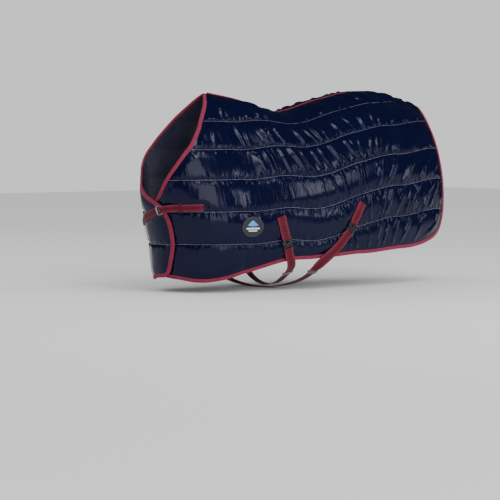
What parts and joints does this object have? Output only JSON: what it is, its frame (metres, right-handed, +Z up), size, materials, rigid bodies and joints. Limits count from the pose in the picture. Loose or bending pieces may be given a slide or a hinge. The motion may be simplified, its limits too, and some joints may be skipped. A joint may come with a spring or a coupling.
{
  "type": "quilted stable rug",
  "caption": "Quilted stable rug for a horse: padded side panels with bound edges, buckled chest strap and crossed belly surcingles.",
  "frame": {"origin": "the lowest point of the back line, on the inner face where the rug rests on the horse's back", "axes": "+Z up, -X towards the horse's chest, +X towards its tail, -Y the near (left) side"},
  "size_m": [1.7051, 0.7181, 0.932],
  "materials": {
    "shell_nylon": "glossy coated nylon, dark navy",
    "lining_nylon": "smooth dark nylon lining",
    "wadding": "white polyester wadding",
    "binding": "burgundy woven edge tape",
    "webbing": "burgundy woven webbing",
    "metal": "nickel plated steel",
    "plastic": "black moulded plastic",
    "badge": "moulded oval badge, plain motif"
  },
  "bodies": {
    "rug": {"outer_shell_left": "shell_nylon", "wadding_left": "wadding", "lining_left": "lining_nylon", "tail_binding_left": "binding", "hem_binding_left": "binding", "front_binding_left": "binding", "neck_binding_left": "binding", "outer_shell_right": "shell_nylon", "wadding_right": "wadding", "lining_right": "lining_nylon", "tail_binding_right": "binding", "hem_binding_right": "binding", "front_binding_right": "binding", "neck_binding_right": "binding", "spine_piping": "binding", "spine_tape": "binding", "shoulder_badge": "badge", "chest_chape": "webbing", "chest_billet": "webbing", "chest_keeper": "webbing", "front_surcingle_chape": "webbing", "front_surcingle_strap": "webbing", "rear_surcingle_chape": "webbing", "rear_surcingle_strap": "webbing"},
    "chest_buckle": {"chest_buckle_frame": "metal"},
    "chest_roller": {"chest_buckle_roller": "metal"},
    "chest_prong": {"chest_buckle_prong": "metal"},
    "front_plate": {"front_slot_plate": "metal"},
    "front_hook": {"front_t_hook": "plastic"},
    "front_slide": {"front_slider": "metal"},
    "rear_plate": {"rear_slot_plate": "metal"},
    "rear_hook": {"rear_t_hook": "plastic"},
    "rear_slide": {"rear_slider": "metal"}
  },
  "joints": [
    {"name": "chest_buckle_swing", "type": "hinge", "parent": "rug", "child": "chest_buckle", "pos_m": [-0.71666, -0.06398, -0.43548], "axis": [-0.2725, 0.1376, 0.9523], "range_deg": [0, 4]},
    {"name": "chest_prong_lift", "type": "hinge", "parent": "chest_buckle", "child": "chest_prong", "pos_m": [-0.71666, -0.06398, -0.43548], "axis": [-0.2725, 0.1376, 0.9523], "range_deg": [0, 8]},
    {"name": "chest_roller_spin", "type": "hinge", "parent": "chest_buckle", "child": "chest_roller", "pos_m": [-0.72141, -0.0389, -0.44046], "axis": [-0.2725, 0.1376, 0.9523], "continuous": true},
    {"name": "front_plate_lift", "type": "hinge", "parent": "rug", "child": "front_plate", "pos_m": [-0.19035, -0.33261, -0.57536], "axis": [-0.9487, 0.1718, -0.2655], "range_deg": [0, 5]},
    {"name": "front_hook_rock", "type": "hinge", "parent": "front_plate", "child": "front_hook", "pos_m": [-0.18522, -0.33499, -0.59524], "axis": [-0.9487, 0.1718, -0.2655], "range_deg": [-8.79, 0]},
    {"name": "front_slider_travel", "type": "slide", "parent": "rug", "child": "front_slide", "axis": [0.3187, 0.864, -0.3899], "range_m": [-0.008, 0.008]},
    {"name": "rear_plate_lift", "type": "hinge", "parent": "rug", "child": "rear_plate", "pos_m": [0.20966, -0.35656, -0.51505], "axis": [-0.8339, -0.0165, 0.5516], "range_deg": [0, 5]},
    {"name": "rear_hook_rock", "type": "hinge", "parent": "rear_plate", "child": "rear_hook", "pos_m": [0.19838, -0.35907, -0.53219], "axis": [-0.8339, -0.0165, 0.5516], "range_deg": [-8.79, 0]},
    {"name": "rear_slider_travel", "type": "slide", "parent": "rug", "child": "rear_slide", "axis": [-0.0538, 0.8314, -0.553], "range_m": [0, 0.008]}
  ],
  "couplings": [
    {"joint": "front_hook_rock", "follows": "front_plate_lift", "ratio": -1.757},
    {"joint": "rear_hook_rock", "follows": "rear_plate_lift", "ratio": -1.757}
  ]
}
